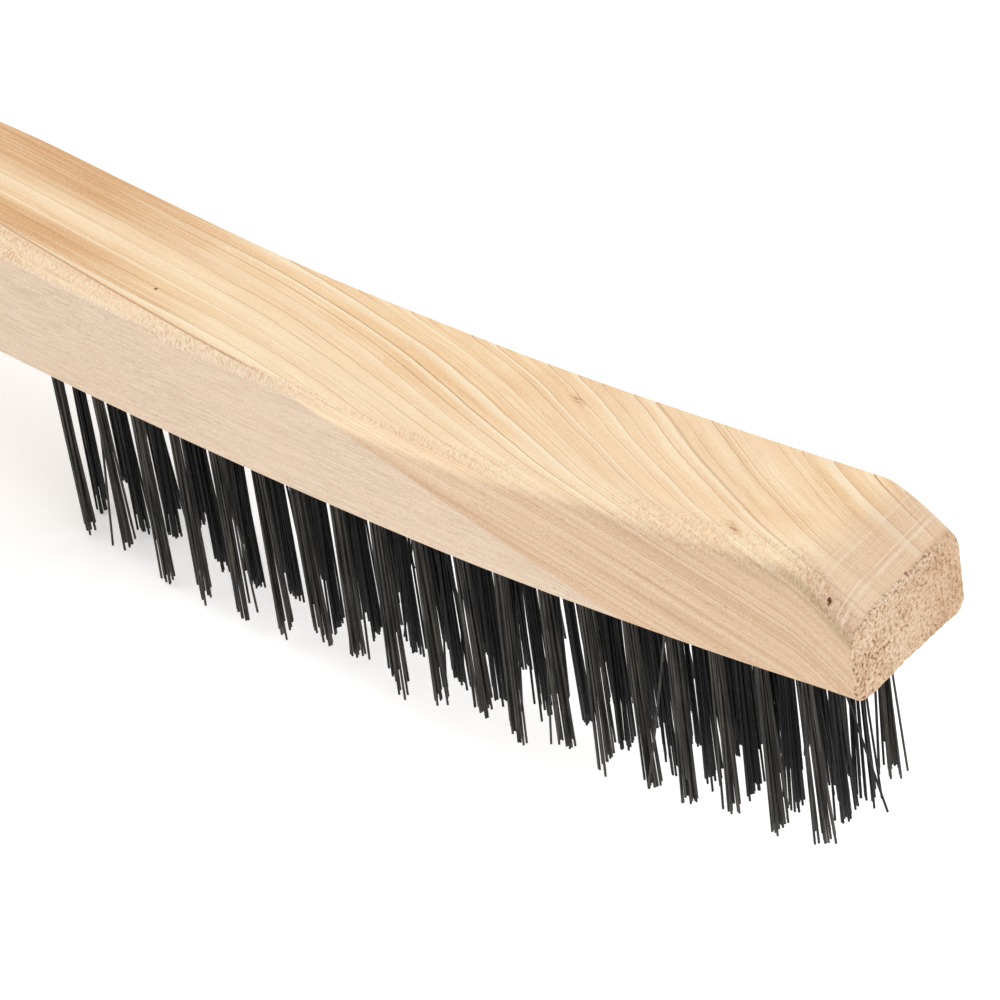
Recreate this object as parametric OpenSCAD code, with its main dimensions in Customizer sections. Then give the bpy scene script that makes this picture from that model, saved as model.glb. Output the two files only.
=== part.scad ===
// Curved-handle hardwood scratch brush: four lengthwise lines of folded wire tufts,
// each tuft held in a blind hole by a flat wire anchor.
// Axes: +X towards the nose, +Y across, +Z up. The brush stands as it rests on a bench,
// on the tips of its heel tufts and the end of its handle. The origin is on the bench,
// under the middle of the whole brush.
// The block is laid out flat first: nose end at x = 0, handle towards -x, tufts towards -z.

/* [Block] */
// length of the wooden block from handle end to nose
block_l = 350; // [335:1:365]
// width of the block across the middle of the tufts
head_w = 26; // [25.5:0.1:27]
// width of the block at the nose end
nose_w = 24; // [23.5:0.1:25]
// width of the grip at its slimmest
grip_w = 24.4; // [23:0.1:26]
// widest part of the handle end
tail_w = 27; // [25:0.1:29]
// thickness of the block above the middle of the tufts
head_t = 19; // [18:0.1:20]
// thickness just behind the rounded nose
nose_t = 20.4; // [19.6:0.1:21]
// thickness of the grip
grip_t = 21; // [20:0.1:22]
// thickness near the handle end
tail_t = 17.5; // [16:0.1:20]

/* [Curve] */
// radius of the underside where the tufts stand
head_r = 1050; // [1000:10:1200]
// distance from the nose to the lowest point of that curve
head_mid = 69; // [66:0.5:74]
// radius of the opposite bow of the handle
grip_r = 700; // [660:10:760]
// distance from the nose to where the two curves meet
bow_start = 175; // [172:1:180]

/* [Nose] */
// length of the rounding down onto the nose end
nose_run = 11; // [9:0.5:13]
// height of the end face on the near side, which was sanded lower
nose_near_t = 12; // [11:0.1:13]
// height of the end face on the far side
nose_far_t = 14.7; // [13.5:0.1:15.5]
// rise of the underside at the far corner of the end face
nose_twist = 1.1; // [0:0.1:2]

/* [Edges] */
// chamfer along the edges of the grip
grip_edge = 4.5; // [3:0.1:5.5]
// softening of the near top edge where it is crispest
crisp_edge = 0.7; // [0.5:0.1:1.5]
// rounding of the near top edge over the tufts
head_edge = 4.5; // [3:0.1:5]
// softening of the far top edge
far_edge = 1.3; // [0.8:0.1:2]
// softening of the edge beside the tufts
lip_edge = 0.6; // [0.4:0.1:1]

/* [Tufts] */
// spacing of the tufts along the two outer lines
pitch_x = 7.9; // [7.8:0.05:8]
// spacing of the tufts along the two inner lines
inner_pitch = 8.02; // [7.9:0.01:8.05]
// spacing of the four lines of tufts
pitch_y = 5.4; // [5.2:0.05:5.6]
// distance from the nose end to the first row
first_row = 13; // [12:0.1:13.5]
// free length of the wire below the wood
trim_l = 32; // [28:0.5:36]
// diameter of a tuft's hole
hole_d = 2.4; // [2.2:0.1:2.8]
// depth of a tuft's hole
hole_l = 11; // [10:0.5:12]
// diameter of a tuft at its tips
tip_d = 4.2; // [3.4:0.1:5]

/* [Anchors] */
// length of a flat wire anchor, which bites into the wood on both sides of the hole
anchor_l = 3.4; // [3.2:0.1:4]
// thickness of the anchor wire
anchor_t = 0.4; // [0.3:0.05:0.6]
// height of the anchor
anchor_h = 1.8; // [1.4:0.1:2.2]
// depth of the wire folded over the anchor
fold_t = 1; // [0.8:0.1:1.4]

/* [Hang hole] */
// diameter of the hang hole
hang_d = 8; // [6:0.5:9]
// distance of the hang hole from the handle end
hang_in = 20; // [18:1:26]

/* [View] */
// sub-part to show

/* [Hidden] */
rows = 19;
lines = 4;
corner_steps = 4;
ring_step = 9;
wood_colour = [0.93, 0.80, 0.64];
wire_colour = [0.33, 0.32, 0.31];
anchor_colour = [0.62, 0.60, 0.56];

// row of tufts k counts from the nose; line j counts across from the -y side
function row_x(k, j = 1) =
    -first_row - (j == 1 || j == lines ? pitch_x : inner_pitch) * (k - 1);
function line_y(j) = pitch_y * (j - (lines + 1) / 2);
function label(k) = str(k < 10 ? "0" : "", k);

// a table read with its corners eased over 10 mm on each side
function soft(table, x) =
    (lookup(x - 10, table) + 2 * lookup(x, table) + lookup(x + 10, table)) / 4;

widths = [
    [-block_l, tail_w], [-block_l + 30, tail_w], [-block_l + 100, grip_w],
    [-head_mid - 92, (grip_w + head_w) / 2], [-head_mid, head_w], [0, nose_w - 0.1],
];
thicknesses = [
    [-block_l, tail_t], [-bow_start - 60, grip_t], [-bow_start + 5, grip_t],
    [-bow_start + 57, head_t], [-60, head_t], [-15, nose_t], [0, nose_t],
];
// how much lower the far side of the top lies
far_dips = [[-210, 0], [-165, 0.9], [-130, 0.65], [-75, 0.5], [-55, 0]];
// how far in and how far down each top edge is cut
near_in = [
    [-bow_start - 75, grip_edge], [-bow_start + 5, grip_edge], [-145, 3], [-128, 1.6],
    [-108, crisp_edge], [-80, crisp_edge], [-60, 2.6], [-40, head_edge],
];
near_down = [
    [-bow_start - 75, grip_edge], [-bow_start - 25, 3.4], [-165, 2.2], [-128, 1.6],
    [-108, crisp_edge], [-80, crisp_edge], [-60, 2], [-40, 3], [-10, 2.6], [0, 2],
];
far_in = [[-bow_start - 75, grip_edge], [-bow_start - 25, 3], [-bow_start + 5, far_edge]];
far_down = [
    [-bow_start - 75, grip_edge], [-bow_start - 25, 3], [-bow_start + 5, far_edge],
    [-40, far_edge], [0, 2 * far_edge],
];
low_edges = [[-bow_start - 50, grip_edge], [-bow_start - 13, lip_edge]];
// 0 is a flat chamfer and 1 a full round
edge_fullness = [[-bow_start, 0.2], [-100, 0.4], [-60, 0.8]];

// underside: tufted curve, then the handle bowing the other way on the same tangent
function low_z(x) = x > -bow_start
    ? pow(x + head_mid, 2) / (2 * head_r)
    : let (u = -bow_start - x, reach = bow_start - head_mid)
        pow(reach, 2) / (2 * head_r) + u * reach / head_r - u * u / (2 * grip_r);
function low_slope(x) = (low_z(x + 0.5) - low_z(x - 0.5));

// rounding of the handle end seen from the side
function tail_trim(x) = let (u = max(0, 1 - (x + block_l) / 9)) 4 * u * u;
// height of the top on the near or far side; it drops onto the end face at the nose
function top_z(x, face_t, dip) =
    let (thick = soft(thicknesses, x), drop = pow(max(0, 1 + x / nose_run), 1.4))
    low_z(x) + thick - dip - (thick - dip - face_t) * drop - tail_trim(x);
function far_lift(x) = nose_twist * pow(max(0, 1 + x / nose_run), 2);

// stations along the block; the handle end is a half circle seen from above
tail_r = tail_w / 2;
tail_angles = [22, 31, 41, 52, 63, 74, 84];
nose_stations = [-nose_run, -8, -5.5, -3.2, -1.4, 0];
body_l = block_l - tail_r - nose_run;
body_n = round(body_l / ring_step);
stations = concat(
    [for (a = tail_angles) [-block_l + tail_r * (1 - cos(a)), sin(a)]],
    [for (i = [0:body_n - 1]) [-block_l + tail_r + body_l * i / body_n, 1]],
    [for (x = nose_stations) [x, 1]]
);

// one cut corner of a section, from its side to its top or bottom
function corner(side, across, level, down, full) = [
    for (i = [0:corner_steps])
        let (t = i / corner_steps, bulge = full * t * (1 - t))
        [
            side - across * (t - bulge),
            level - down * (1 - t - bulge)
        ]
];
function reverse(v) = [for (i = [len(v) - 1:-1:0]) v[i]];
function section(x, narrow) =
    let (
        half_w = narrow * soft(widths, x) / 2,
        fit = min(1, half_w / 10),
        near_top = top_z(x, nose_near_t, 0),
        far_top = top_z(x, nose_far_t, soft(far_dips, x)),
        bottom = low_z(x) + tail_trim(x) / 2,
        low = soft(low_edges, x) * fit,
        full = soft(edge_fullness, x),
        yz = concat(
            corner(half_w, soft(far_in, x) * fit, far_top, soft(far_down, x) * fit, full),
            reverse(corner(-half_w, -soft(near_in, x) * fit, near_top, soft(near_down, x) * fit, full)),
            corner(-half_w, -low, bottom, -low, full),
            reverse(corner(half_w, low, bottom + far_lift(x), -low, full))
        )
    )
    [for (p = yz) [x, p[0], p[1]]];
ring_n = 4 * (corner_steps + 1);
ring_points = [for (s = stations) each section(s[0], s[1])];
ring_faces = concat(
    [[for (i = [0:ring_n - 1]) i]],
    [[for (i = [ring_n - 1:-1:0]) (len(stations) - 1) * ring_n + i]],
    [
        for (r = [0:len(stations) - 2], i = [0:ring_n - 1])
            let (a = r * ring_n + i, b = r * ring_n + (i + 1) % ring_n)
            each [[a, a + ring_n, b + ring_n], [a, b + ring_n, b]]
    ]
);

// how the brush stands: nose up, on the back edge of the heel tips and the handle end
heel_x = row_x(rows, 2) - tip_d / 2;
heel_z = low_z(row_x(rows, 2)) - trim_l;
stance = min([
    for (p = ring_points)
        if (p[0] < heel_x - 60) atan2(p[2] - heel_z, heel_x - p[0])
]);
rest_z = -(heel_x * sin(stance) + heel_z * cos(stance));
front_xs = concat(
    [for (p = ring_points) p[0] * cos(stance) - p[2] * sin(stance)],
    [(row_x(1) + tip_d / 2) * cos(stance) - (low_z(row_x(1)) - trim_l) * sin(stance)]
);
rest_x = -(max(front_xs) + min(front_xs)) / 2;

module standing() {
    translate([rest_x, 0, rest_z])
        rotate([0, -stance, 0])
            children();
}

// places children at every tuft of row k, on the underside
module at_row(k) {
    for (j = [1:lines])
        translate([row_x(k, j), line_y(j), low_z(row_x(k, j))])
            children();
}

module anchor_bar() {
    translate([-anchor_l / 2, -anchor_t / 2, hole_l - fold_t - anchor_h])
        cube([anchor_l, anchor_t, anchor_h]);
}

module hang_hole() {
    x = -block_l + hang_in;
    translate([x, 0, low_z(x)])
        rotate([0, -atan(low_slope(x)), 0])
            translate([0, 0, -10])
                cylinder(h = 20 + tail_t, d = hang_d, $fn = 48);
}

module handle_block() {
    color(wood_colour)
        standing()
            difference() {
                polyhedron(points = ring_points, faces = ring_faces, convexity = 6);
                for (k = [1:rows])
                    at_row(k) {
                        translate([0, 0, -1])
                            cylinder(h = hole_l + 1, d = hole_d, $fn = 20);
                        anchor_bar();
                    }
                hang_hole();
            }
}

// a bundle of wire folded over its anchor: root in the hole, free length opening out
module tuft() {
    difference() {
        rotate_extrude($fn = 20)
            polygon([
                [0, -trim_l], [tip_d / 2, -trim_l], [hole_d / 2, 0],
                [hole_d / 2, hole_l], [0, hole_l],
            ]);
        anchor_bar();
    }
}

module tuft_row(k) {
    color(wire_colour)
        standing()
            at_row(k)
                tuft();
}

module anchor_row(k) {
    color(anchor_colour)
        standing()
            at_row(k)
                anchor_bar();
}

handle_block();
for (k = [1:rows]) {
    tuft_row(k);
    anchor_row(k);
}
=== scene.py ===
# Wire scratch brush: sanded hardwood block, folded wire tufts, pale studio floor.
import math
import random
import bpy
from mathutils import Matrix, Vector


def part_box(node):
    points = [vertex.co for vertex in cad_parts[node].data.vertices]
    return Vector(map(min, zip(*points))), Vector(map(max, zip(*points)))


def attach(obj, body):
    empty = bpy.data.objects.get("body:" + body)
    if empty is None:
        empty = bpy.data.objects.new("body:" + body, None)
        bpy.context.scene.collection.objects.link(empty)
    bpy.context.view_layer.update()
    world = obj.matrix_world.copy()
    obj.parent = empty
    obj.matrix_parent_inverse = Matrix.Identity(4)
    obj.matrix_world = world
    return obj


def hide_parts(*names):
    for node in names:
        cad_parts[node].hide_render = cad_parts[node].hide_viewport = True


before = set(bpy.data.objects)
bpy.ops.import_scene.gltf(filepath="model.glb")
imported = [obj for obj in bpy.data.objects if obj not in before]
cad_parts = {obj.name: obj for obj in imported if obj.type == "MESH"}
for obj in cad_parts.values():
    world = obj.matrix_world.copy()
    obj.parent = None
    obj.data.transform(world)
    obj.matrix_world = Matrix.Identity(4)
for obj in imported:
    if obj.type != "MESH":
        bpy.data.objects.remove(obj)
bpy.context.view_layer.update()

from types import SimpleNamespace

import bpy
from mathutils import Euler, Matrix, Vector, noise

MM = 0.001
# sizes in millimetres, the same as the CAD's apart from the single wires
ROWS, LINES = 19, 4
PITCH_X, INNER_PITCH, PITCH_Y, FIRST_ROW = 7.9, 8.02, 5.4, 13.0
HOLE_D, HOLE_L, TRIM = 2.4, 11.0, 32.0
ANCHOR_TOP, ANCHOR_H, ANCHOR_T = 10.0, 1.8, 0.4
BLOCK_L, TAIL_R = 350.0, 13.5
HANG_D, HANG_IN = 8.0, 20.0
HEAD_R, HEAD_MID, GRIP_R, BOW_START = 1050.0, 69.0, 700.0, 175.0
NOSE_RUN, NOSE_NEAR, NOSE_FAR, NOSE_TWIST = 11.0, 12.0, 14.7, 1.1
WIRE_D = 0.36


# ---------------------------------------------------------------- layout
# The block is laid out with its nose end at x = 0, handle towards -x, tufts
# towards -z, in millimetres, then stood up where the CAD's anchors say.
def low_z(x):
    """Height of the underside: a shallow arc over the tufts, the opposite bow behind them."""
    if x > -BOW_START:
        return (x + HEAD_MID) ** 2 / (2 * HEAD_R)
    u, reach = -BOW_START - x, BOW_START - HEAD_MID
    return reach ** 2 / (2 * HEAD_R) + u * reach / HEAD_R - u * u / (2 * GRIP_R)


def lookup(x, table):
    """Straight lines between the (x, value) points of a table."""
    if x <= table[0][0]:
        return table[0][1]
    for (xa, a), (xb, b) in zip(table, table[1:]):
        if x <= xb:
            return a + (b - a) * (x - xa) / (xb - xa)
    return table[-1][1]


def soft(x, table, reach=10.0, n=8):
    """The table's value with its corners rounded over reach."""
    total = sum(lookup(x + reach * i / n, table) * (n + 1 - abs(i)) for i in range(-n, n + 1))
    return total / (n + 1) ** 2


def row_x(k, j=1):
    """Where row k meets line j. The two inner lines are spaced a little wider."""
    return -FIRST_ROW - (PITCH_X if j in (1, LINES) else INNER_PITCH) * (k - 1)


def line_y(j):
    return PITCH_Y * (j - (LINES + 1) / 2)


def centre(node):
    lo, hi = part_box(node)
    return (Vector(lo) + Vector(hi)) / 2


def anchor_centre(k):
    """Middle of row k's anchors in the layout, halfway between inner and outer lines."""
    xs = (row_x(k), row_x(k, 2))
    return Vector((sum(xs) / 2, 0, sum(map(low_z, xs)) / 2 + ANCHOR_TOP - ANCHOR_H / 2)) * MM


def standing():
    """Layout coordinates to the row frame, from the first and last anchor rows."""
    a, b = centre("anchor_row_%02d" % ROWS), centre("anchor_row_01")
    la, lb = anchor_centre(ROWS), anchor_centre(1)
    turn = math.atan2(b.z - a.z, b.x - a.x) - math.atan2(lb.z - la.z, lb.x - la.x)
    spin = Matrix.Rotation(-turn, 4, "Y")
    return Matrix.Translation(a - spin @ la) @ spin


STAND = standing()


def stood_up(name, verts, faces, material):
    """An object from layout millimetres, stood up."""
    mesh = bpy.data.meshes.new(name)
    mesh.from_pydata([STAND @ (Vector(v) * MM) for v in verts], [], faces)
    mesh.validate()
    obj = bpy.data.objects.new(name, mesh)
    bpy.context.collection.objects.link(obj)
    mesh.materials.append(material)
    mesh.shade_smooth()
    return obj


def piece(name, verts, faces, material, slot, node):
    """A piece that replaces a CAD node and rides on the root body."""
    obj = stood_up(name, verts, faces, material)
    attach(obj, "root")
    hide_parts(node)
    return obj


# ---------------------------------------------------------------- shader nodes
def linear(r, g, b):
    """A colour given in parts of 255, in the linear values of the shaders."""
    def part(c):
        return c / 12.92 if c <= 0.04045 else ((c + 0.055) / 1.055) ** 2.4
    return (part(r / 255), part(g / 255), part(b / 255), 1)


class Graph:
    """Short names for the nodes of one material."""

    def __init__(self, name):
        self.mat = bpy.data.materials.new(name)
        self.mat.use_nodes = True
        self.tree = self.mat.node_tree
        self.bsdf = self.tree.nodes["Principled BSDF"]

    def wire(self, value, socket):
        if isinstance(value, bpy.types.NodeSocket):
            self.tree.links.new(value, socket)
        else:
            socket.default_value = value

    def new(self, kind, **settings):
        node = self.tree.nodes.new(kind)
        for key, value in settings.items():
            setattr(node, key, value)
        return node

    def math(self, op, *values):
        node = self.new("ShaderNodeMath", operation=op)
        for value, socket in zip(values, node.inputs):
            self.wire(value, socket)
        return node.outputs[0]

    def add(self, a, b):
        return self.math("ADD", a, b)

    def sub(self, a, b):
        return self.math("SUBTRACT", a, b)

    def mul(self, a, b):
        return self.math("MULTIPLY", a, b)

    def larger(self, a, b):
        return self.math("MAXIMUM", a, b)

    def power(self, a, b):
        return self.math("POWER", a, b)

    def absolute(self, a):
        return self.math("ABSOLUTE", a)

    def step(self, value, low, high, out_low=0.0, out_high=1.0):
        """A smooth step of value from low to high."""
        node = self.new("ShaderNodeMapRange", interpolation_type="SMOOTHSTEP")
        for v, socket in zip((value, low, high, out_low, out_high), node.inputs):
            self.wire(v, socket)
        return node.outputs[0]

    def vector(self, *parts):
        node = self.new("ShaderNodeCombineXYZ")
        for v, socket in zip(parts, node.inputs):
            self.wire(v, socket)
        return node.outputs[0]

    def split(self, vector):
        node = self.new("ShaderNodeSeparateXYZ")
        self.wire(vector, node.inputs[0])
        return list(node.outputs)

    def noise(self, place, scale, detail, rough, dims="3D"):
        node = self.new("ShaderNodeTexNoise", noise_dimensions=dims)
        self.wire(place, node.inputs["W" if dims == "1D" else "Vector"])
        for key, v in (("Scale", scale), ("Detail", detail), ("Roughness", rough)):
            node.inputs[key].default_value = v
        return node.outputs[0]

    def drawn(self, places, per_mm, detail, rough):
        """Noise over three places, drawn out along those that change slowly per millimetre."""
        parts = [self.mul(place, rate) for place, rate in zip(places, per_mm)]
        return self.noise(self.vector(*parts), 1.0, detail, rough)

    def ramp(self, value, stops):
        """Straight blends between (value, colour) stops."""
        node = self.new("ShaderNodeValToRGB")
        node.color_ramp.interpolation = "LINEAR"
        ramp = node.color_ramp.elements
        for i, (at, colour) in enumerate(stops):
            stop = ramp[i] if i < 2 else ramp.new(at)
            stop.position = at
            stop.color = linear(*colour)
        self.wire(value, node.inputs[0])
        return node.outputs[0]

    def mix(self, share, a, b):
        node = self.new("ShaderNodeMix", data_type="RGBA", blend_type="MIX")
        for value, socket in ((share, 0), (a, 6), (b, 7)):
            self.wire(value, node.inputs[socket])
        return node.outputs[2]

    def tint(self, share, under, *colour):
        """A share of one colour over what lies under it."""
        return self.mix(share, under, linear(*colour))

    def bump(self, height, strength, distance):
        """Relief of the surface, distance metres deep."""
        node = self.new("ShaderNodeBump")
        node.inputs["Strength"].default_value = strength
        node.inputs["Distance"].default_value = distance
        self.wire(height, node.inputs["Height"])
        self.wire(node.outputs[0], self.bsdf.inputs["Normal"])

    def surface(self, colour, rough, specular=0.5, metal=0.0):
        """The four main inputs of the shader, and the material made."""
        self.wire(colour, self.bsdf.inputs["Base Color"])
        self.wire(rough, self.bsdf.inputs["Roughness"])
        self.bsdf.inputs["Specular IOR Level"].default_value = specular
        self.bsdf.inputs["Metallic"].default_value = metal
        return self.mat

    def millimetres(self):
        """Layout coordinates of the surface point, in millimetres."""
        lay = self.new("ShaderNodeMapping", vector_type="TEXTURE")
        lay.inputs["Location"].default_value = STAND.translation
        lay.inputs["Rotation"].default_value = STAND.to_euler()
        lay.inputs["Scale"].default_value = (MM, MM, MM)
        self.wire(self.new("ShaderNodeTexCoord").outputs["Object"], lay.inputs[0])
        return self.split(lay.outputs[0])


# ---------------------------------------------------------------- wood
# Every function but the last takes the material's graph g and the wood's shared values w.
# Places are layout millimetres, and the rest are shares and noise levels from 0 to 1.
HEIGHT_END = -185.0  # behind this the underside counts as flat
# places of the knots
KNOTS = ((-63.0, 6.4), (-22.5, -8.3))
# places, sizes and colours of the pit and the fleck
SPOTS = ((-4.3, -10.6, 0.42, (98, 60, 30)), (-132.5, -6.0, 0.35, (110, 70, 44)))
TOP_TONES = ((0.35, (226, 180, 130)), (0.45, (241, 204, 158)),
             (0.54, (248, 215, 170)), (0.64, (254, 231, 192)))
SIDE_TONES = ((0.34, (196, 160, 126)), (0.46, (213, 181, 149)),
              (0.57, (223, 195, 164)), (0.68, (232, 208, 179)))
END_TONES = ((0.31, (124, 72, 30)), (0.36, (182, 126, 74)), (0.40, (204, 166, 130)),
             (0.50, (214, 181, 149)), (0.62, (232, 206, 176)))


def place_in_wood(g, w):
    """Place, height above the underside, and which way the surface faces."""
    w.x, w.y, w.z = g.millimetres()
    fall = g.power(g.absolute(g.add(g.larger(w.x, HEIGHT_END), HEAD_MID)), 2.0)
    w.h = g.sub(w.z, g.mul(fall, 0.5 / HEAD_R))
    facing = g.split(g.new("ShaderNodeNewGeometry").outputs["Normal"])
    w.near, w.up = g.mul(facing[1], -1.0), facing[2]


def pin_knots(g, w):
    """Two pin knots in the top, drawn out along the growth lines, which bend a little round them."""
    w.knots = 0.0
    for at_x, at_y in KNOTS:
        off = g.sub(w.x, at_x)
        rx, ry = g.mul(off, 0.42), g.mul(g.add(g.sub(w.y, at_y), g.mul(off, 0.4)), 1.1)
        blob = g.math("EXPONENT", g.mul(g.add(g.mul(rx, rx), g.mul(ry, ry)), -1.0))
        w.knots = g.add(w.knots, blob)


def growth_layers(g, w):
    """Nearly flat sheets that dip towards the nose and the near side."""
    bend = g.mul(g.power(g.larger(g.add(w.x, 110.0), 0.0), 2.0), 0.0006)
    bend = g.add(bend, g.mul(g.power(g.larger(g.add(w.x, NOSE_RUN), 0.0), 1.4), 0.12))
    layer = g.add(g.add(w.z, g.mul(w.y, 0.55)), g.add(g.mul(w.x, 0.13), bend))
    wander = g.drawn((w.x, w.y, w.z), (0.011, 0.045, 0.045), 1.0, 0.4)
    shiver = g.drawn((w.x, w.y, w.z), (0.09, 0.3, 0.3), 2.0, 0.5)
    layer = g.add(layer, g.add(g.mul(g.sub(wander, 0.5), 3.0), g.mul(g.sub(shiver, 0.5), 0.22)))
    w.layer = g.add(layer, g.mul(w.knots, 0.25))
    count = g.add(g.mul(w.layer, 0.86), g.mul(g.noise(g.mul(w.layer, 0.55), 1.0, 1.0, 0.5, "1D"), 1.6))
    ring = g.math("FRACT", count)
    mood = g.noise(g.mul(g.math("FLOOR", count), 3.7), 1.0, 0.0, 0.5, "1D")
    w.line = g.mul(g.step(ring, 0.0, 0.10, 1.0, 0.0), g.step(mood, 0.3, 0.6, 0.55, 1.0))
    pale = g.mul(g.step(ring, 0.45, 0.95), g.step(ring, 0.96, 1.0, 1.0, 0.2))
    w.pale = g.mul(pale, g.step(mood, 0.35, 0.65, 0.2, 1.0))


def streaks(g, w):
    """Streaks of several widths along the growth layers, fibres, clouds and dust."""
    tone = g.drawn((w.x, w.layer, w.y), (0.011, 0.85, 0.04), 3.0, 0.62)
    w.fine = g.drawn((w.x, w.layer, w.y), (0.05, 4.6, 0.3), 2.0, 0.6)
    streak = g.add(g.mul(tone, 0.66), g.mul(g.step(w.x, -60.0, -130.0, 0.26, 0.48), w.fine))
    w.streak = g.add(streak, g.step(w.x, -60.0, -130.0, 0.03, -0.06))
    w.fibre = g.drawn((w.x, w.y, w.z), (0.22, 3.6, 3.6), 3.0, 0.6)
    w.cloud = g.drawn((w.x, w.y, w.z), (0.06, 0.13, 0.13), 2.0, 0.5)
    w.dust = g.noise(g.vector(g.mul(w.x, 0.6), w.y, w.z), 4.2, 3.0, 0.75)
    w.tick = g.drawn((w.x, w.y, g.add(w.z, g.mul(w.x, 0.5))), (3.4, 1.7, 1.7), 2.0, 0.6)


def top_wood(g, w):
    """The top face: warm streaks, pale growth bands, thin dark lines and the knots."""
    top = g.ramp(w.streak, TOP_TONES)
    top = g.tint(g.step(w.cloud, 0.44, 0.66, 0.0, 0.46), top, 236, 190, 140)
    top = g.tint(g.mul(w.pale, 0.78), top, 255, 239, 208)
    bright = g.mul(g.step(w.y, -1.0, -8.0), g.step(w.x, -142.0, -112.0, 0.0, 0.8))
    bright = g.larger(bright, g.mul(g.step(w.x, -85.0, -50.0), g.step(w.x, -32.0, -14.0, 0.6, 0.15)))
    top = g.tint(g.mul(bright, 0.52), top, 254, 235, 202)
    # the grip has a pale glow between a honey far side and an amber streak
    glow = g.mul(g.step(w.layer, 1.8, 3.4), g.step(w.layer, 5.0, 7.0, 1.0, 0.0))
    glow = g.mul(glow, g.step(w.x, -80.0, -110.0))
    top = g.tint(g.mul(glow, 0.42), top, 252, 230, 194)
    handle = g.step(w.x, -118.0, -158.0)
    honey = g.mul(handle, g.step(w.y, 0.0, 6.0))
    amber = g.mul(handle, g.mul(g.step(w.layer, -1.5, 0.2), g.step(w.layer, 1.2, 2.6, 1.0, 0.0)))
    dark = g.mul(g.larger(honey, amber), g.step(w.fine, 0.3, 0.7, 1.0, 0.6))
    top = g.tint(dark, top, 216, 165, 114)
    top = g.tint(g.mul(w.line, g.step(w.x, -110.0, -150.0, 0.82, 0.45)), top, 172, 124, 80)
    speckle = g.step(w.fibre, 0.35, 0.62)
    top = g.tint(g.mul(g.step(w.knots, 0.25, 0.85), g.mul(speckle, 0.6)), top, 202, 140, 82)
    return g.tint(g.mul(g.step(w.knots, 0.80, 0.97), g.mul(speckle, 0.7)), top, 150, 92, 48)


def side_wood(g, w, top):
    """The sides: greyish plain wood at the heel, and a warmer layer that runs out over it."""
    leaning = g.add(w.z, g.mul(w.x, 0.05))
    thread = g.drawn((w.x, w.y, leaning), (0.14, 2.6, 2.6), 4.0, 0.75)
    dash = g.drawn((w.x, w.y, leaning), (0.7, 5.0, 5.0), 1.0, 0.5)
    plain = g.mix(g.step(thread, 0.32, 0.68), linear(228, 206, 183), linear(208, 184, 159))
    plain = g.tint(g.step(dash, 0.62, 0.74, 0.0, 0.5), plain, 172, 138, 110)
    plain = g.tint(g.step(w.cloud, 0.35, 0.65, 0.0, 0.3), plain, 224, 195, 167)

    warm = g.ramp(w.streak, SIDE_TONES)
    warm = g.tint(g.step(w.x, -60.0, 0.0, 0.0, 0.4), warm, 204, 172, 140)
    warm = g.tint(g.mul(w.line, 0.95), warm, 142, 102, 70)
    warm = g.tint(g.step(dash, 0.64, 0.76, 0.0, 0.35), warm, 150, 110, 78)
    # the plain wood's upper limit is the top edge at the heel and sinks towards the nose
    brim = g.math("SMOOTH_MIN", 19.0, g.sub(17.3, g.mul(g.add(w.x, 100.0), 0.29)), 2.0)
    over = g.add(g.sub(w.h, brim), g.mul(g.sub(w.streak, 0.5), 2.0))
    warm = g.tint(g.step(over, 0.3, 3.5, 0.5, 0.0), warm, 200, 160, 123)
    # just under the near top edge the top's pale wood shows on the side
    hump = g.mul(g.add(w.x, 88.0), 1.0 / 38.0)
    cream = g.step(g.sub(w.h, g.add(g.mul(g.mul(hump, hump), 2.2), 14.6)), -0.6, 1.6)
    warm = g.mix(g.mul(cream, 0.75), warm, top)
    return g.mix(g.step(over, -0.5, 0.5), plain, warm)


def torn_edge(g, w, colour):
    """Torn grain on the near top edge, where the cut crosses the rays."""
    slant = g.mul(g.step(w.near, 0.24, 0.40), g.step(w.up, 0.20, 0.50))
    heel = g.mul(g.step(w.x, -135.0, -125.0), g.step(w.x, -100.0, -85.0, 1.0, 0.0))
    crisp = g.mul(g.mul(g.step(w.h, 16.4, 17.4), g.step(w.near, 0.5, 0.8)), heel)
    torn = g.larger(slant, crisp)
    at_grip = g.step(w.x, -85.0, -110.0)
    colour = g.tint(g.mul(torn, g.add(0.10, g.mul(at_grip, 0.43))), colour, 240, 214, 184)
    w.pits = g.mul(g.mul(torn, g.step(w.tick, 0.53, 0.62)), g.step(w.cloud, 0.38, 0.58, 0.25, 1.0))
    mild = g.mul(g.step(w.x, -115.0, -95.0), g.step(w.x, -22.0, -10.0, 1.0, 0.0))
    colour = g.tint(g.mul(w.pits, g.sub(0.55, g.mul(mild, 0.22))), colour, 204, 142, 94)
    flecks = g.mul(g.mul(torn, g.sub(1.0, g.mul(mild, 0.6))), g.step(w.tick, 0.36, 0.46, 0.4, 0.0))
    colour = g.tint(flecks, colour, 255, 243, 222)
    rough = g.mul(g.step(torn, 0.1, 0.6), g.step(w.x, -14.0, -4.0))
    colour = g.tint(g.mul(rough, 0.40), colour, 194, 152, 108)
    return g.tint(g.mul(rough, g.step(w.tick, 0.50, 0.60, 0.0, 0.55)), colour, 152, 104, 62)


def grip_crease_shade(g, w, colour):
    """A dark line painted along the crisp crease where the grip's chamfer begins: painted shade."""
    fold = g.sub(w.y, g.sub(-12.3, g.mul(g.add(w.x, 108.0), 0.072)))
    crease = g.mul(g.step(g.absolute(fold), 0.06, 0.24, 1.0, 0.0), g.step(w.h, 14.0, 15.0))
    crease = g.mul(crease, g.mul(g.step(w.x, -104.0, -113.0), g.step(w.x, -190.0, -170.0)))
    # painted shade: a dark line along the crease
    return g.tint(g.mul(crease, 0.6), colour, 168, 118, 78)


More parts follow.
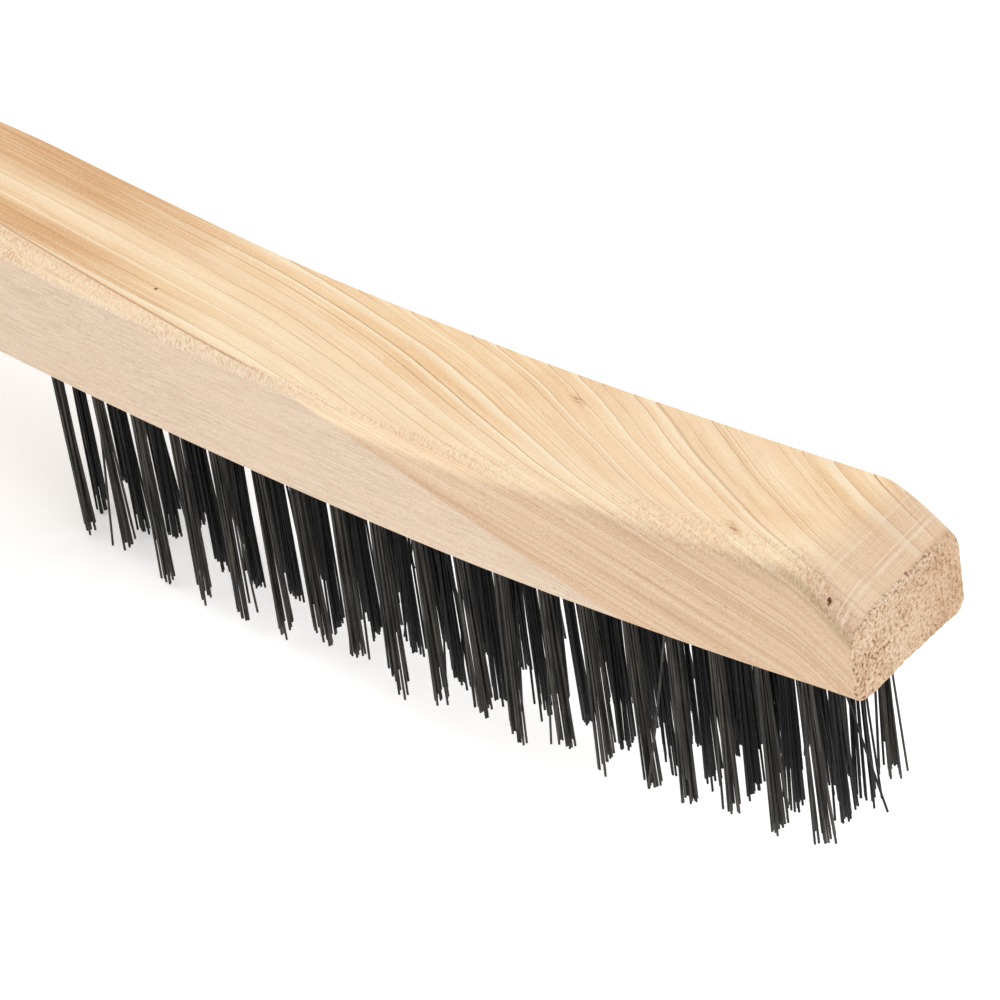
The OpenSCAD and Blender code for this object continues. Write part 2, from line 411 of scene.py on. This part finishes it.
def nose_marks(g, w, colour):
    """Rasp marks across the sanded top of the nose, and a handling stain down its near corner."""
    marks = g.noise(g.add(g.mul(w.x, 1.5), g.mul(w.y, 0.05)), 1.0, 2.0, 0.6, "1D")
    nose = g.mul(g.step(w.x, -12.0, -4.0), g.step(w.up, 0.35, 0.7))
    colour = g.tint(g.mul(nose, 0.50), colour, 216, 183, 159)
    gaps = g.noise(g.vector(g.mul(w.x, 0.9), g.mul(w.y, 0.35), 7.0), 1.0, 1.0, 0.5)
    worked = g.mul(g.mul(nose, g.step(gaps, 0.38, 0.58, 0.35, 1.0)), g.step(w.x, -9.5, -5.0))
    colour = g.tint(g.mul(g.step(marks, 0.48, 0.62), g.mul(worked, 0.48)), colour, 250, 234, 216)
    colour = g.tint(g.mul(g.step(marks, 0.48, 0.36), g.mul(worked, 0.40)), colour, 210, 168, 136)
    stain = g.mul(g.step(w.x, -26.0, -4.0), g.mul(g.step(w.near, 0.60, 0.85), g.step(w.up, 0.0, 0.3)))
    stain = g.mul(stain, g.step(w.streak, 0.40, 0.62, 1.0, 0.35))
    return g.tint(g.mul(stain, 0.55), colour, 160, 142, 108)


def end_grain(g, w, colour):
    """Open pores of the end face, thickest under its top edge and along its near side."""
    ragged = g.noise(g.vector(g.mul(w.y, 0.9), g.mul(w.z, 0.9), 0.0), 1.0, 3.0, 0.7)
    w.end = g.step(g.add(w.x, g.mul(g.sub(ragged, 0.5), 1.2)), -0.45, -0.25)
    pores = g.drawn((w.x, w.y, w.z), (0.5, 1.7, 1.7), 2.0, 0.7)
    patch = g.noise(g.vector(0.0, g.mul(w.y, 0.22), g.mul(w.z, 0.22)), 1.0, 2.0, 0.6)
    below = g.sub(g.sub(w.h, g.mul(w.y, 0.11)), 13.2)  # 0 at the top edge of the end face
    brink = g.larger(g.step(below, -4.5, -1.5), g.step(w.y, -6.5, -11.0))
    w.crowd = g.sub(pores, g.add(g.step(patch, 0.35, 0.65, -0.05, 0.05), g.mul(brink, 0.027)))
    grain = g.ramp(w.crowd, END_TONES)
    frayed = g.mul(g.step(below, -2.2, -0.4), g.step(patch, 0.42, 0.58))
    grain = g.tint(g.mul(frayed, g.step(pores, 0.40, 0.55, 0.1, 0.6)), grain, 246, 228, 204)
    grain = g.tint(g.step(w.y, -4.0, 9.0, 0.0, 0.34), grain, 196, 150, 108)
    return g.mix(w.end, colour, grain)


def spots(g, w, colour):
    """An open pit beside the nose and a dark fleck on the grip."""
    for at_x, at_y, size, shade in SPOTS:
        rx, ry = g.mul(g.sub(w.x, at_x), 1.25), g.mul(g.sub(w.y, at_y), 0.85)
        away = g.math("SQRT", g.add(g.mul(rx, rx), g.mul(ry, ry)))
        spot = g.step(g.add(away, g.mul(g.sub(w.tick, 0.5), 0.9)), 0.6 * size, size, 1.0, 0.0)
        spot = g.mul(spot, g.mul(g.step(w.up, 0.0, 0.2), g.step(w.h, 11.0, 12.0)))
        colour = g.tint(spot, colour, *shade)
    return colour


def wood_material():
    g, w = Graph("sanded_hardwood"), SimpleNamespace()
    place_in_wood(g, w)
    pin_knots(g, w)
    growth_layers(g, w)
    streaks(g, w)
    top = top_wood(g, w)
    colour = g.mix(g.step(w.up, 0.45, 0.85), side_wood(g, w, top), top)
    for layer in (torn_edge, grip_crease_shade, nose_marks, end_grain):
        colour = layer(g, w, colour)
    colour = g.tint(g.step(w.dust, 0.47, 0.68, 0.0, 0.14), colour, 186, 142, 102)
    colour = g.tint(g.step(w.dust, 0.53, 0.34, 0.0, 0.20), colour, 255, 240, 216)
    colour = spots(g, w, colour)
    relief = g.add(g.mul(w.fibre, 0.5), g.mul(g.step(w.crowd, 0.26, 0.50), g.mul(w.end, 3.5)))
    g.bump(g.sub(relief, g.mul(w.pits, 0.8)), 0.4, 0.0002)
    return g.surface(colour, 0.62, specular=0.3)


# ---------------------------------------------------------------- metal
def wire_material():
    """Dark tempered wire, painted lighter on the outer lines of tufts than on the inner ones: painted light
    on the outer lines and painted shade on the inner ones.
    """
    g = Graph("dark_tempered_wire")
    x, y, z = g.millimetres()
    run = g.drawn((x, y, z), (1.6, 1.6, 0.12), 2.0, 0.5)
    flecks = g.noise(g.vector(x, y, z), 1.4, 3.0, 0.6)
    # painted light and shade: the inner lines' wires are near black as painted shade and the outer lines'
    # wires lighter as painted light; their lighter streaks are part tone along the wires and part painted
    # highlight
    inner = g.mix(g.step(run, 0.35, 0.65), linear(8, 8, 8), linear(24, 24, 24))
    outer = g.mix(g.step(run, 0.35, 0.65), linear(26, 26, 25), linear(70, 66, 58))
    colour = g.mix(g.step(g.absolute(y), 5.2, 7.4), inner, outer)
    colour = g.tint(g.mul(g.step(flecks, 0.55, 0.75), 0.4), colour, 46, 40, 34)
    g.bump(run, 0.2, 0.00005)
    return g.surface(colour, g.step(flecks, 0.3, 0.8, 0.42, 0.6), specular=0.35, metal=0.25)


def anchor_material():
    """Flat anchor wire with drawing lines along it."""
    g = Graph("drawn_anchor_wire")
    x, y, z = g.millimetres()
    drawn = g.drawn((x, y, z), (0.4, 9.0, 9.0), 3.0, 0.6)
    colour = g.mix(drawn, linear(140, 136, 130), linear(188, 184, 176))
    g.bump(drawn, 0.2, 0.00003)
    return g.surface(colour, g.step(drawn, 0.2, 0.8, 0.3, 0.5), metal=0.9)


# ---------------------------------------------------------------- wooden block
WIDTH = [(-350, 27.0), (-320, 27.0), (-250, 24.4), (-161, 25.2), (-69, 26.0), (0, 23.9)]
THICK = [(-350, 17.5), (-235, 21.0), (-170, 21.0), (-118, 19.0), (-60, 19.0), (-15, 20.4), (0, 20.4)]
FAR_DIP = [(-210, 0.0), (-165, 0.9), (-130, 0.65), (-75, 0.5), (-55, 0.0)]
# top edges: how far in and how far down they are cut, and how round the near one is
NEAR_IN = [(-250, 4.5), (-170, 4.5), (-145, 3.0), (-128, 1.6), (-108, 0.7), (-80, 0.7), (-60, 2.6),
           (-40, 4.5)]
NEAR_DOWN = [(-250, 4.5), (-200, 3.4), (-165, 2.2), (-128, 1.6), (-108, 0.7), (-80, 0.7), (-60, 2.0),
             (-40, 3.0), (-10, 2.6), (0, 2.0)]
NEAR_ROUND = [(-110, 0.5), (-80, 0.6), (-55, 2.5)]
FAR_IN = [(-250, 4.5), (-200, 3.0), (-170, 1.3)]
FAR_DOWN = [(-250, 4.5), (-200, 3.0), (-170, 1.3), (-40, 1.3), (0, 2.6)]
LOW_CUT = [(-225, 4.5), (-188, 0.3), (-20, 0.25), (0, 0.45)]
# the last END_RUN of the lower edges: the far one is cut, and the near one hangs in a
# belly that is deepest at BELLY_AT of the width
END_RUN, FAR_CUT, BELLY, BELLY_AT, BELLY_TOP = 8.0, 0.8, 0.9, 0.15, 4.0
# the last TAIL_EASE of the tail closes in by these from below and from above
TAIL_EASE, TAIL_LOW, TAIL_HIGH = 9.0, 2.0, 4.0
# steps along the eight straight edges of a cross-section, and round each corner
EDGE_STEPS, CORNER_STEPS = (14, 3, 26, 5, 14, 2, 26, 2), 4
ROUND_MOST = 0.45  # share of an edge that one corner's rounding can take
RIM = 0.3  # the torn part of the end
CREASE = 38  # degrees between faces that meet in a sharp edge


def rounded(a, corner, b, steps):
    """Points on the curve that leaves a and reaches b inside their corner."""
    for i in range(steps + 1):
        t = i / steps
        yield a * (1 - t) ** 2 + corner * 2 * t * (1 - t) + b * t * t


def section_corners(x, narrow):
    """The eight corners of the cross-section at x with their radii, half its width and its lowest height."""
    half = narrow * soft(x, WIDTH) / 2
    tail = max(0.0, 1 - (x + BLOCK_L) / TAIL_EASE) ** 2
    low, thick, dip = low_z(x) + TAIL_LOW * tail, soft(x, THICK), soft(x, FAR_DIP)
    slope = max(0.0, 1 + x / NOSE_RUN) ** 1.4
    top_near = low_z(x) + thick - (thick - NOSE_NEAR) * slope - TAIL_HIGH * tail
    top_far = low_z(x) + thick - dip - (thick - dip - NOSE_FAR) * slope - TAIL_HIGH * tail
    far_low = low + NOSE_TWIST * max(0.0, 1 + x / NOSE_RUN) ** 2
    fit = min(1.0, half / 10)
    n_in, n_down = soft(x, NEAR_IN) * fit, soft(x, NEAR_DOWN) * fit
    f_in, f_down = soft(x, FAR_IN) * fit, soft(x, FAR_DOWN) * fit
    cut, near_r = soft(x, LOW_CUT) * fit, soft(x, NEAR_ROUND)
    far_cut = FAR_CUT * max(0.0, 1 + x / END_RUN)
    corners = [
        (half, far_low + cut + far_cut, 0.8), (half, top_far - f_down, 1.2),
        (half - f_in, top_far, 1.2), (-half + n_in, top_near, near_r),
        (-half, top_near - n_down, near_r), (-half, low + cut, 0.6),
        (-half + cut, low, 0.5), (half - cut - far_cut, far_low, 0.8),
    ]
    return [(Vector((y, z)), r) for y, z, r in corners], half, low


def section(x, narrow):
    """Points of the cross-section at x, anticlockwise seen from the nose."""
    corners, half, low = section_corners(x, narrow)
    points = []
    for i, (c, r) in enumerate(corners):
        before, after = corners[i - 1][0], corners[(i + 1) % len(corners)][0]
        back, on = before - c, after - c
        start = c + back.normalized() * min(r, ROUND_MOST * back.length)
        stop = c + on.normalized() * min(r, ROUND_MOST * on.length)
        if points:
            last, n = points[-1], EDGE_STEPS[i - 1]
            points += [last.lerp(start, k / n) for k in range(1, n)]
        points += list(rounded(start, c, stop, CORNER_STEPS))
    last, n = points[-1], EDGE_STEPS[-1]
    points += [last.lerp(points[0], k / n) for k in range(1, n)]
    belly = BELLY * max(0.0, 1 + x / END_RUN)
    for p in points:
        if p.y < low + BELLY_TOP:
            t = (p.x / half + 1) / 2 / BELLY_AT
            p.y -= belly * t * math.exp(1 - t)
    return points


def stations():
    """Places of the cross-sections, with the share of the full width at the rounded tail."""
    out = []
    for a in range(20, 88, 4):
        t = math.radians(a)
        out.append((-BLOCK_L + TAIL_R * (1 - math.cos(t)), math.sin(t)))
    x = -BLOCK_L + TAIL_R
    while x < -0.01:
        out.append((x, 1.0))
        x += 2.5 if x < -200 else 1.25 if x < -16 else 0.5
    out.append((0.0, 1.0))
    return out


def torn_rim(p):
    """How far the rim of the end face is torn back at p."""
    torn = noise.noise(Vector((p.x, p.y, 0)) * 2.6) + 0.6 * noise.noise(Vector((p.x, p.y, 5)) * 6.0)
    return -0.28 * abs(torn) - 0.05


def rough_face(p):
    """How far the end face stands in or out at p."""
    waves = 0.18 * noise.noise(Vector((p.x, p.y, 3.0)) * 1.3)
    waves += 0.1 * noise.noise(Vector((p.x, p.y, 9.0)) * 3.0)
    return waves - 0.05


def block_mesh():
    """The undrilled block: rings of points joined along it, and closed at both ends."""
    verts, faces = [], []
    rings = [(x, section(x, narrow)) for x, narrow in stations()]
    n = len(rings[0][1])
    for x, ring in rings:
        verts += [(x + (torn_rim(p) if x > -RIM else 0.0), p.x, p.y) for p in ring]
    for r in range(len(rings) - 1):
        for i in range(n):
            a, b = r * n + i, r * n + (i + 1) % n
            faces.append((a, a + n, b + n, b))
    faces.append(tuple(range(n)))
    # the end face is filled inwards so its roughness can be shaped
    loop = list(range((len(rings) - 1) * n, len(rings) * n))
    rim = [Vector(verts[i][1:]) for i in loop]
    hub = Vector((0.0, 0.0))
    for p in rim:
        hub += p / n
    for shrink in (0.97, 0.93, 0.87, 0.8, 0.7, 0.58, 0.45, 0.3, 0.15):
        inner = list(range(len(verts), len(verts) + n))
        for p in (hub.lerp(q, shrink) for q in rim):
            verts.append((rough_face(p), p.x, p.y))
        for i in range(n):
            j = (i + 1) % n
            faces.append((loop[i], inner[i], inner[j], loop[j]))
        loop = inner
    verts.append((0.0, hub.x, hub.y))
    for i in range(n):
        faces.append((loop[i], len(verts) - 1, loop[(i + 1) % n]))
    return verts, faces


def cylinder(verts, faces, at, axis, radius, length, sides):
    """A closed cylinder from at along axis."""
    side = Vector((0, 1, 0))
    other = axis.cross(side)
    base = len(verts)
    for end in (0.0, length):
        for i in range(sides):
            t = 2 * math.pi * i / sides
            middle = at + axis * end
            verts.append(tuple(middle + side * (radius * math.cos(t)) + other * (radius * math.sin(t))))
    for i in range(sides):
        j = (i + 1) % sides
        faces.append((base + i, base + j, base + sides + j, base + sides + i))
    faces.append(tuple(base + i for i in reversed(range(sides))))
    faces.append(tuple(base + sides + i for i in range(sides)))


def drill(material):
    """All the tuft holes and the hang hole, as one object to cut with."""
    verts, faces = [], []
    for k in range(1, ROWS + 1):
        for j in range(1, LINES + 1):
            at = Vector((row_x(k, j), line_y(j), low_z(row_x(k, j)) - 1))
            cylinder(verts, faces, at, Vector((0, 0, 1)), HOLE_D / 2, HOLE_L + 1, 16)
    hang = -BLOCK_L + HANG_IN
    slope = low_z(hang + 0.5) - low_z(hang - 0.5)
    axis = Vector((-slope, 0, 1)).normalized()
    cylinder(verts, faces, Vector((hang, 0, low_z(hang))) - axis * 10, axis, HANG_D / 2, 40, 48)
    return stood_up("cutter", verts, faces, material)


def build_block(material):
    """The drilled block."""
    block = piece("handle_block_sanded", *block_mesh(), material, "wood", "handle_block")
    cutter = drill(material)
    tool = block.modifiers.new("holes", "BOOLEAN")
    tool.object = cutter
    tool.solver = "EXACT"
    graph = bpy.context.evaluated_depsgraph_get()
    mesh = bpy.data.meshes.new_from_object(block.evaluated_get(graph))
    block.modifiers.clear()
    block.data = mesh
    bpy.data.objects.remove(cutter)
    mesh.shade_smooth()
    mesh.set_sharp_from_angle(angle=math.radians(CREASE))


# ---------------------------------------------------------------- wire tufts
WIRE_SIDES = 6
WIRE_PAIRS = (7, 8, 8, 8, 9)  # double wires of a tuft, one of these by chance
# how much a millimetre from the bundle's middle spreads a wire sideways per millimetre down
SPREAD, NOSE_SPREAD, HEEL_SPREAD = (0.002, 0.024), (0.018, 0.034), (-0.004, 0.012)
NOSE_SWEEP, SWEEP = -0.010, 0.046  # tufts lean back a little at the nose and forwards at the heel
UNEVEN, NOSE_SHORTER = 0.9, 1.5  # millimetres
SHORT_SHARE, SHORT_MOST = 0.14, 6  # some wires are up to 6 mm short
MIDDLE = 0.48  # where a leg's middle point is, in shares of its sideways run
FIRST_SEED = 700
WIRE_CREASE = 70  # degrees


def tube(verts, faces, path, radius):
    """A closed round wire along a path."""
    base = len(verts)
    n = len(path)
    for i, p in enumerate(path):
        along = (path[min(i + 1, n - 1)] - path[max(i - 1, 0)]).normalized()
        side = along.orthogonal() if i == 0 else (side - along * side.dot(along))
        side = side.normalized()
        other = along.cross(side)
        for s in range(WIRE_SIDES):
            t = 2 * math.pi * s / WIRE_SIDES
            verts.append(tuple(p + side * (radius * math.cos(t)) + other * (radius * math.sin(t))))
    for i in range(n - 1):
        for s in range(WIRE_SIDES):
            a, b = base + i * WIRE_SIDES + s, base + i * WIRE_SIDES + (s + 1) % WIRE_SIDES
            faces.append((a, b, b + WIRE_SIDES, a + WIRE_SIDES))
    faces.append(tuple(base + s for s in reversed(range(WIRE_SIDES))))
    faces.append(tuple(base + (n - 1) * WIRE_SIDES + s for s in range(WIRE_SIDES)))


def floor_reach(x, z):
    """How long a wire can be before its tip meets the floor."""
    spin = STAND.to_euler().y
    up = (STAND @ (Vector((x, 0, z)) * MM)).z / MM
    return (up - WIRE_D * 0.6) / math.cos(spin)


def packed(n, loose):
    """The n points nearest the middle of a triangular grid, loose wires apart."""
    pitch = WIRE_D * loose
    off = Vector((0.07, 0.04, 0))
    grid = [(i, j) for i in range(-5, 6) for j in range(-5, 6)]
    sites = [Vector((pitch * (i + 0.5 * j), pitch * 0.866 * j, 0)) for i, j in grid]
    return sorted(sites, key=lambda p: (round((p - off).length, 4), p.x))[:n]


def looseness(x, y):
    """The tufts at the heel are packed close, the others looser and each a little differently."""
    return 1.02 if x < row_x(16) else 1.24 + 0.14 * noise.noise(Vector((x, y, 0)) * 0.37)


def tuft(verts, faces, x, y, z, rng):
    """Wires folded over the anchor, both legs coming out of the hole."""
    pairs = rng.choice(WIRE_PAIRS)
    twist = Matrix.Rotation(rng.uniform(0, math.pi), 3, "Z")
    sites = sorted((twist @ p for p in packed(2 * pairs, looseness(x, y))), key=lambda p: p.y)
    near, far = (sorted(half, key=lambda p: p.x) for half in (sites[:pairs], sites[pairs:]))
    swept = SWEEP * (row_x(1) - x) / (row_x(1) - row_x(ROWS)) + NOSE_SWEEP
    lean = Vector((swept + rng.gauss(0, 0.016), rng.gauss(0, 0.018), 0))
    spread = rng.uniform(*SPREAD)
    first = x > row_x(2)
    if first:
        spread = rng.uniform(*NOSE_SPREAD)
    elif x < row_x(15):
        spread = rng.uniform(*HEEL_SPREAD)
    trim = TRIM + rng.gauss(0, UNEVEN) - (NOSE_SHORTER if first else 0.0)
    bevel = Vector((rng.gauss(0, 1.0), rng.gauss(0, 1.0), 0))
    r = WIRE_D / 2
    for w in range(pairs):
        layer = w % 2
        fold_x = (w / 2 - (pairs - 1) / 4) * (WIRE_D + 0.1)
        fold_y = ANCHOR_T / 2 + r + layer * WIRE_D
        legs = []
        for sign, root in ((-1, near[w]), (1, far[w])):
            # a few wires stray, and fewer of them stray far
            stray = rng.random()
            wild = 0.06 if stray < 0.04 else 0.02 if stray < 0.16 else 0.006
            out = root * spread + lean + Vector((rng.gauss(0, wild), rng.gauss(0, wild), 0))
            length = trim + root.dot(bevel) - abs(rng.gauss(0, UNEVEN))
            if rng.random() < SHORT_SHARE:
                length -= rng.uniform(0, SHORT_MOST)
            length = min(length, floor_reach(x + root.x + out.x * TRIM, z))
            tip = root + out * length - Vector((0, 0, length))
            bow = Vector((rng.gauss(0, 0.05), rng.gauss(0, 0.05), 0))
            middle = root + out * (MIDDLE * length) - Vector((0, 0, 0.5 * length)) + bow
            inside = Vector((fold_x, sign * fold_y, ANCHOR_TOP - ANCHOR_H - 0.6))
            legs.append([tip, middle, root, inside, Vector((fold_x, sign * fold_y, ANCHOR_TOP - 0.1))])
        crown = Vector((fold_x, 0, ANCHOR_TOP + r + 0.05 + layer * WIRE_D))
        path = legs[0] + [crown] + legs[1][::-1]
        tube(verts, faces, [Vector((x, y, z)) + p for p in path], r)


def build_tufts(material):
    """One piece for each cross row of tufts."""
    for k in range(1, ROWS + 1):
        rng = random.Random(FIRST_SEED + k)
        verts, faces = [], []
        for j in range(1, LINES + 1):
            tuft(verts, faces, row_x(k, j), line_y(j), low_z(row_x(k, j)), rng)
        row = piece("wire_tufts_%02d" % k, verts, faces, material, "wire", "tuft_row_%02d" % k)
        row.data.set_sharp_from_angle(angle=math.radians(WIRE_CREASE))


def repaint_anchors(material):
    """The anchors keep their CAD shape."""
    for k in range(1, ROWS + 1):
        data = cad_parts["anchor_row_%02d" % k].data
        data.materials.clear()
        data.materials.append(material)


# ---------------------------------------------------------------- studio
FLOOR_HALF, SKY, KEY_POWER = 4.0, 0.86, 5.0  # metres, strength, watts
# the floor's glow under the heel, lowered there as a painted shadow, and under the nose
HEEL_GLOW, NOSE_GLOW = 0.20, 0.46
# the camera's place in the layout in metres, its turns in degrees and its lens
CAMERA_AT, CAMERA_TURN = (0.54466, -0.61249, 0.59247), (55.571, 6.697, 40.749)
SENSOR, LENS = 36, 266.87


def floor_material():
    """Pale paper that glows a little less under the heel of the tufts than under the nose: a painted shadow
    under the heel.
    """
    g = Graph("pale_floor")
    x, y = g.millimetres()[:2]
    tone = g.noise(g.vector(g.mul(x, 0.004), g.mul(y, 0.004), 0.0), 1.0, 2.0, 0.5)
    g.bsdf.inputs["Emission Color"].default_value = (1, 1, 1, 1)
    # painted shadow: the glow is lower under the heel than under the nose
    g.wire(g.step(x, -170.0, -122.0, HEEL_GLOW, NOSE_GLOW), g.bsdf.inputs["Emission Strength"])
    return g.surface(g.mix(tone, linear(250, 250, 250), linear(253, 253, 253)), 0.9, specular=0.0)


def build_floor():
    f = FLOOR_HALF
    mesh = bpy.data.meshes.new("floor")
    mesh.from_pydata([(-f, -f, 0), (f, -f, 0), (f, f, 0), (-f, f, 0)], [], [(0, 1, 2, 3)])
    mesh.materials.append(floor_material())
    floor = bpy.data.objects.new("floor", mesh)
    bpy.context.collection.objects.link(floor)


def build_lights():
    """An even pale sky and one large soft light above the handle."""
    world = bpy.data.worlds.new("studio")
    world.use_nodes = True
    sky = world.node_tree.nodes["Background"]
    sky.inputs["Color"].default_value = (1, 1, 1, 1)
    sky.inputs["Strength"].default_value = SKY
    bpy.context.scene.world = world

    at, aim = Vector((-0.5, -0.3, 1.6)), Vector((0, 0, 0.03))
    light = bpy.data.lights.new("key", "AREA")
    light.shape = "RECTANGLE"
    light.size, light.size_y = 1.2, 1.2
    light.energy = KEY_POWER
    lamp = bpy.data.objects.new("key", light)
    bpy.context.collection.objects.link(lamp)
    lamp.location = at
    lamp.rotation_euler = (aim - at).to_track_quat("-Z", "Y").to_euler()


def build_camera():
    """A long lens at the viewing angle, and colours shown as they are."""
    scene = bpy.context.scene
    scene.view_settings.view_transform = "Standard"
    scene.view_settings.look = "None"
    camera = bpy.data.objects.new("camera", bpy.data.cameras.new("camera"))
    scene.collection.objects.link(camera)
    camera.data.sensor_width = SENSOR
    camera.data.lens = LENS
    camera.data.clip_start, camera.data.clip_end = 0.05, 20
    turn = Euler([math.radians(a) for a in CAMERA_TURN])
    seen_from = Matrix.Translation(CAMERA_AT) @ turn.to_matrix().to_4x4()
    camera.matrix_world = STAND @ seen_from
    scene.camera = camera


build_block(wood_material())
build_tufts(wire_material())
repaint_anchors(anchor_material())
build_floor()
build_lights()
build_camera()
